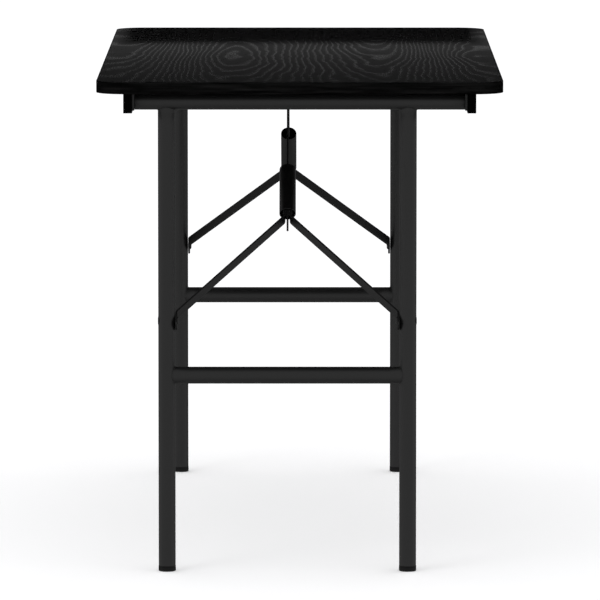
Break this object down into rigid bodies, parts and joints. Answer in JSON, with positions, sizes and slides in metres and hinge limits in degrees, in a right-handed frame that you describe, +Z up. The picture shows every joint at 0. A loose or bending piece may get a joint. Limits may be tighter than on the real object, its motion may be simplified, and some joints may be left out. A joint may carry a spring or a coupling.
{
  "type": "folding table",
  "caption": "Rectangular folding table: a laminated top on side rails, with tubular leg sets that fold under it on Y-shaped braces with locking sleeves.",
  "frame": {"origin": "on the floor under the centre of the top", "axes": "+Z up; +Y along the length of the top, from the front leg set to the rear one; +X across it, to the right of a person who stands at the front end"},
  "size_m": [0.6064, 1.2192, 0.7366],
  "materials": {
    "laminate": "satin black laminate with a lighter wood grain",
    "edge_band": "black wood-grain edge band, satin",
    "core": "raw particle board",
    "backer": "dark backing sheet, matt",
    "powder_coat": "black powder coat, satin, fine texture",
    "black_plastic": "moulded black plastic, satin",
    "zinc_steel": "blackened zinc plate"
  },
  "bodies": {
    "tabletop": {"top_core": "core", "top_laminate": "laminate", "top_backer": "backer", "edge_band": "edge_band", "rail_left": "powder_coat", "rail_right": "powder_coat", "rail_screws": "zinc_steel", "plate_rivets": "zinc_steel", "pivot_pins": "zinc_steel", "bracket_screws": "zinc_steel", "brace_pins": "zinc_steel", "brace_spacers": "black_plastic", "rail_plug_front_left": "black_plastic", "pivot_plate_front_left": "powder_coat", "rail_plug_front_right": "black_plastic", "pivot_plate_front_right": "powder_coat", "front_brace_bracket": "powder_coat", "rail_plug_rear_left": "black_plastic", "pivot_plate_rear_left": "powder_coat", "rail_plug_rear_right": "black_plastic", "pivot_plate_rear_right": "powder_coat", "rear_brace_bracket": "powder_coat"},
    "front_legs": {"front_pivot_tube": "powder_coat", "front_pivot_bearings": "black_plastic", "front_leg_left": "powder_coat", "front_leg_right": "powder_coat", "front_crossbar": "powder_coat", "front_foot_left": "black_plastic", "front_foot_right": "black_plastic", "front_leg_rivets": "powder_coat"},
    "front_strip": {"front_brace_strip": "powder_coat"},
    "front_arms": {"front_arm_left": "powder_coat", "front_arm_right": "powder_coat", "front_elbow_rivet": "powder_coat", "front_elbow_washers": "zinc_steel", "front_arm_rivets": "powder_coat"},
    "front_sleeve": {"front_lock_sleeve": "powder_coat"},
    "rear_legs": {"rear_pivot_tube": "powder_coat", "rear_pivot_bearings": "black_plastic", "rear_leg_left": "powder_coat", "rear_leg_right": "powder_coat", "rear_crossbar": "powder_coat", "rear_foot_left": "black_plastic", "rear_foot_right": "black_plastic", "rear_leg_rivets": "powder_coat"},
    "rear_strip": {"rear_brace_strip": "powder_coat"},
    "rear_arms": {"rear_arm_left": "powder_coat", "rear_arm_right": "powder_coat", "rear_elbow_rivet": "powder_coat", "rear_elbow_washers": "zinc_steel", "rear_arm_rivets": "powder_coat"},
    "rear_sleeve": {"rear_lock_sleeve": "powder_coat"}
  },
  "joints": [
    {"name": "front_fold", "type": "hinge", "parent": "tabletop", "child": "front_legs", "pos_m": [-0.0185, -0.5711, 0.7058], "axis": [1, 0, 0], "range_deg": [0, 88.5]},
    {"name": "front_strip_swing", "type": "hinge", "parent": "tabletop", "child": "front_strip", "pos_m": [-0.0185, -0.1951, 0.704], "axis": [1, 0, 0], "range_deg": [-40.34, 0]},
    {"name": "front_elbow", "type": "hinge", "parent": "front_strip", "child": "front_arms", "pos_m": [-0.0185, -0.40095, 0.52498], "axis": [1, 0, 0], "range_deg": [0, 178.41]},
    {"name": "front_sleeve_slide", "type": "slide", "parent": "front_strip", "child": "front_sleeve", "axis": [0, 0.7546, 0.6562], "range_m": [0, 0.15]},
    {"name": "rear_fold", "type": "hinge", "parent": "tabletop", "child": "rear_legs", "pos_m": [-0.0185, 0.5711, 0.7058], "axis": [-1, 0, 0], "range_deg": [0, 83.5]},
    {"name": "rear_strip_swing", "type": "hinge", "parent": "tabletop", "child": "rear_strip", "pos_m": [-0.0185, 0.1951, 0.704], "axis": [-1, 0, 0], "range_deg": [-39.96, 0]},
    {"name": "rear_elbow", "type": "hinge", "parent": "rear_strip", "child": "rear_arms", "pos_m": [-0.0185, 0.40095, 0.52498], "axis": [-1, 0, 0], "range_deg": [0, 171.2]},
    {"name": "rear_sleeve_slide", "type": "slide", "parent": "rear_strip", "child": "rear_sleeve", "axis": [0, -0.7546, 0.6562], "range_m": [0, 0.15]}
  ],
  "couplings": [
    {"joint": "front_strip_swing", "follows": "front_fold", "ratio": -0.45587},
    {"joint": "front_elbow", "follows": "front_fold", "ratio": 2.0159},
    {"joint": "front_sleeve_slide", "follows": "front_fold", "m_per_rad": 0.097111},
    {"joint": "rear_strip_swing", "follows": "rear_fold", "ratio": -0.47853},
    {"joint": "rear_elbow", "follows": "rear_fold", "ratio": 2.0503},
    {"joint": "rear_sleeve_slide", "follows": "rear_fold", "m_per_rad": 0.10293}
  ]
}
